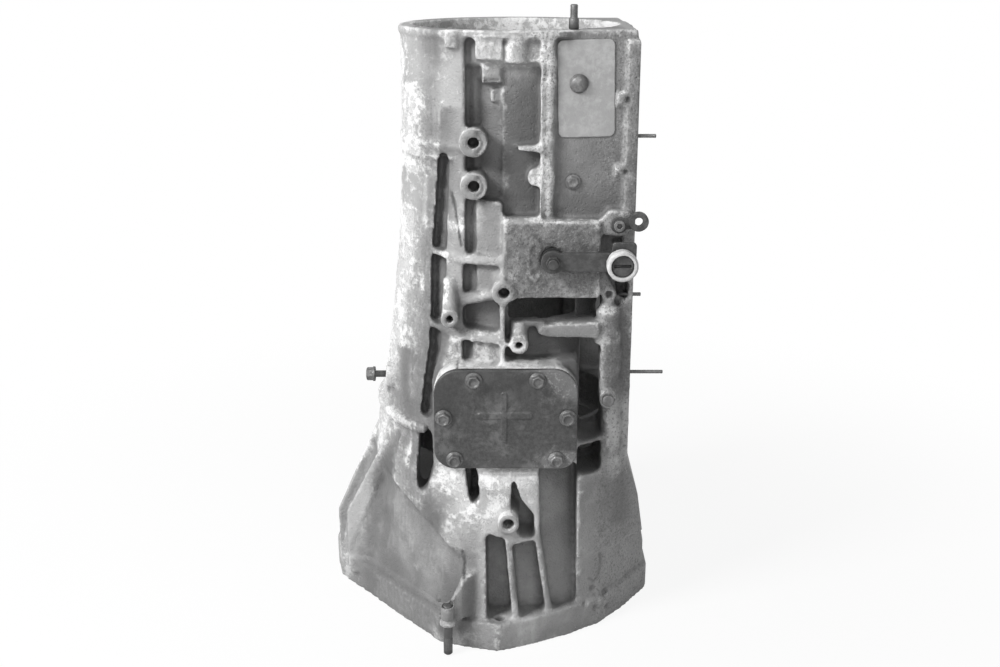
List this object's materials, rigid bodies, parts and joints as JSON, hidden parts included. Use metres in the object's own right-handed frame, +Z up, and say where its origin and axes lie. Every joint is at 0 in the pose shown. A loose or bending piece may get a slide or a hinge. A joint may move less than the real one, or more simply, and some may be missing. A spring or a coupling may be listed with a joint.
{
  "type": "gearbox housing",
  "caption": "Cast light-alloy gearbox housing: ribbed barrel and bell in one piece, with bolted side cover, selector lever, studs, plugs and a bare plate.",
  "frame": {"origin": "centre of the bell face, on the main axis", "axes": "+Z up the main axis toward the rim, -Y toward the selector and side cover, +X toward the pan rail"},
  "size_m": [0.3812, 0.4097, 0.6815],
  "materials": {
    "cast_alloy": "cast, chalky, greasy in the recesses",
    "dark_steel": "dark, greasy pressed steel",
    "gasket": "dark fibre sheet",
    "steel_bolts": "dull zinc, dirty",
    "plate": "bare dull sheet",
    "stud_steel": "dull steel",
    "plug_steel": "dull steel",
    "bronze": "plain bearing bronze",
    "lever_steel": "dark, worn steel",
    "seal_rubber": "black rubber",
    "bushing_plastic": "aged off-white plastic",
    "spring_steel": "plain spring steel"
  },
  "bodies": {
    "housing": {"case": "cast_alloy", "pto_cover": "dark_steel", "cover_gasket": "gasket", "cover_bolts": "steel_bolts", "bare_plate": "plate", "plate_bolt": "steel_bolts", "pressure_plug": "steel_bolts", "rear_stud": "stud_steel", "pan_studs": "stud_steel", "foot_stud": "stud_steel", "side_bolt": "stud_steel", "column_plug": "plug_steel", "bell_dowels": "stud_steel", "rear_bushing": "bronze", "line_bracket": "dark_steel", "bracket_bolt": "steel_bolts", "shaft_seal": "seal_rubber", "detent_spring": "spring_steel", "detent_bolt": "steel_bolts", "shaft_roll_pin": "spring_steel"},
    "selector": {"selector_shaft": "lever_steel", "selector_lever": "lever_steel", "lever_nut": "steel_bolts", "lever_bushing": "bushing_plastic", "cable_pin": "lever_steel", "detent_lever": "lever_steel", "detent_nut": "steel_bolts"}
  },
  "joints": [
    {"name": "selector_turn", "type": "hinge", "parent": "housing", "child": "selector", "pos_m": [0.037, -0.145, 0.426], "axis": [0, -1, 0], "range_deg": [-28, 36]}
  ]
}
